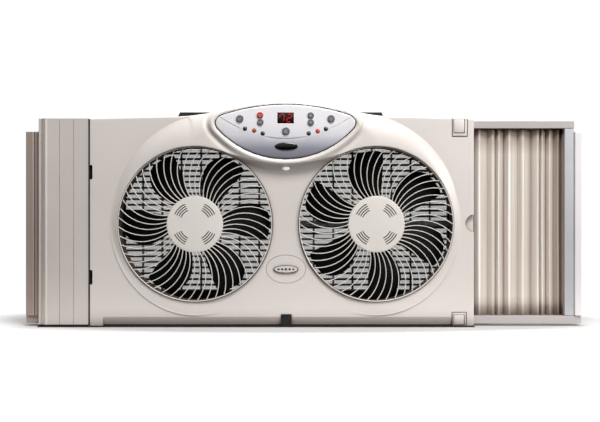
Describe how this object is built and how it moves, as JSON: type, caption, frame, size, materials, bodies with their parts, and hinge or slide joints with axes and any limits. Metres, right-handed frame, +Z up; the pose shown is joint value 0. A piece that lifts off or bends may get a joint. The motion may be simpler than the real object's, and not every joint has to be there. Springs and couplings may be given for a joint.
{
  "type": "twin window fan",
  "caption": "Reversible window fan with caged axial fans side by side in one moulded body, a control head, a clip-on side panel and slide-out pleated extenders.",
  "frame": {"origin": "on the flat underside where the body stands on the sill, midway between the two fans", "axes": "+X to the right seen from the room, +Y away from the viewer towards outdoors, +Z up"},
  "size_m": [0.8552, 0.1142, 0.3475],
  "materials": {
    "body": "satin moulded ABS, warm champagne white",
    "rear_guard": "matt moulded plastic, taupe",
    "screen": "fine woven mesh",
    "blade": "satin black moulded plastic",
    "steel": "zinc-plated steel",
    "fascia": "metallic silver paint on plastic, satin",
    "badge": "satin metal with a dark lozenge",
    "smoked_lens": "polished smoked red lens",
    "circuit_board": "green solder mask",
    "button": "satin grey rubberised plastic",
    "power_button": "satin red plastic",
    "lamp": "clear tinted dome",
    "handle": "fine-textured black plastic",
    "side_panel": "satin moulded plastic, champagne grey",
    "rail": "extruded plastic, cool light grey",
    "left_rail": "extruded plastic, taupe",
    "pleat": "thin folded vinyl film"
  },
  "bodies": {
    "housing": {"front_housing": "body", "rear_housing": "body", "front_grille_left": "body", "front_grille_right": "body", "motor_bracket_left": "body", "motor_bracket_right": "body", "corner_clip_top": "body", "corner_clip_bottom": "body", "rear_grille_left": "rear_guard", "rear_grille_right": "rear_guard", "insect_screen_left": "screen", "insect_screen_right": "screen", "motor_left": "steel", "motor_right": "steel", "housing_screw_1": "steel", "housing_screw_2": "steel", "housing_screw_3": "steel", "housing_screw_4": "steel", "control_fascia": "fascia", "badge": "badge", "display_module": "smoked_lens", "infrared_window": "smoked_lens", "control_board": "circuit_board", "power_board": "circuit_board", "led_left_low": "lamp", "led_left_medium": "lamp", "led_left_high": "lamp", "led_right_low": "lamp", "led_right_medium": "lamp", "led_right_high": "lamp", "carry_handle": "handle", "cord_gland": "handle", "extension_clip_top": "handle", "extension_clip_bottom": "handle", "extension_panel": "side_panel", "right_pleats": "pleat", "left_pleats": "pleat"},
    "fan_left": {"impeller_left": "blade", "spindle_left": "steel"},
    "fan_right": {"impeller_right": "blade", "spindle_right": "steel"},
    "right_extender": {"right_top_rail": "rail", "right_bottom_rail": "rail", "right_stile": "rail", "right_flange": "rail"},
    "left_extender": {"left_top_rail": "left_rail", "left_bottom_rail": "left_rail", "left_stile": "left_rail", "left_flange": "left_rail"},
    "button_speed_left": {"button_speed_left": "button"},
    "button_power": {"button_power": "power_button"},
    "button_airflow": {"button_airflow": "button"},
    "button_mode": {"button_mode": "button"},
    "button_temp_up": {"button_temp_up": "button"},
    "button_temp_down": {"button_temp_down": "button"},
    "button_speed_right": {"button_speed_right": "button"}
  },
  "joints": [
    {"name": "left_fan_spin", "type": "hinge", "parent": "housing", "child": "fan_left", "pos_m": [-0.1387, 0, 0.1568], "axis": [0, 1, 0], "continuous": true},
    {"name": "right_fan_spin", "type": "hinge", "parent": "housing", "child": "fan_right", "pos_m": [0.1387, 0, 0.1568], "axis": [0, 1, 0], "continuous": true},
    {"name": "right_extender_slide", "type": "slide", "parent": "housing", "child": "right_extender", "axis": [1, 0, 0], "range_m": [-0.15, 0], "deforming": ["right_pleats"]},
    {"name": "left_extender_slide", "type": "slide", "parent": "housing", "child": "left_extender", "axis": [-1, 0, 0], "range_m": [0, 0.045], "deforming": ["left_pleats"]},
    {"name": "button_speed_left_press", "type": "slide", "parent": "housing", "child": "button_speed_left", "axis": [0, 1, 0], "range_m": [0, 0.0012], "stiffness_N_per_m": 1500},
    {"name": "button_power_press", "type": "slide", "parent": "housing", "child": "button_power", "axis": [0, 1, 0], "range_m": [0, 0.0012], "stiffness_N_per_m": 1500},
    {"name": "button_airflow_press", "type": "slide", "parent": "housing", "child": "button_airflow", "axis": [0, 1, 0], "range_m": [0, 0.0012], "stiffness_N_per_m": 1500},
    {"name": "button_mode_press", "type": "slide", "parent": "housing", "child": "button_mode", "axis": [0, 1, 0], "range_m": [0, 0.0012], "stiffness_N_per_m": 1500},
    {"name": "button_temp_up_press", "type": "slide", "parent": "housing", "child": "button_temp_up", "axis": [0, 1, 0], "range_m": [0, 0.0012], "stiffness_N_per_m": 1500},
    {"name": "button_temp_down_press", "type": "slide", "parent": "housing", "child": "button_temp_down", "axis": [0, 1, 0], "range_m": [0, 0.0012], "stiffness_N_per_m": 1500},
    {"name": "button_speed_right_press", "type": "slide", "parent": "housing", "child": "button_speed_right", "axis": [0, 1, 0], "range_m": [0, 0.0012], "stiffness_N_per_m": 1500}
  ]
}
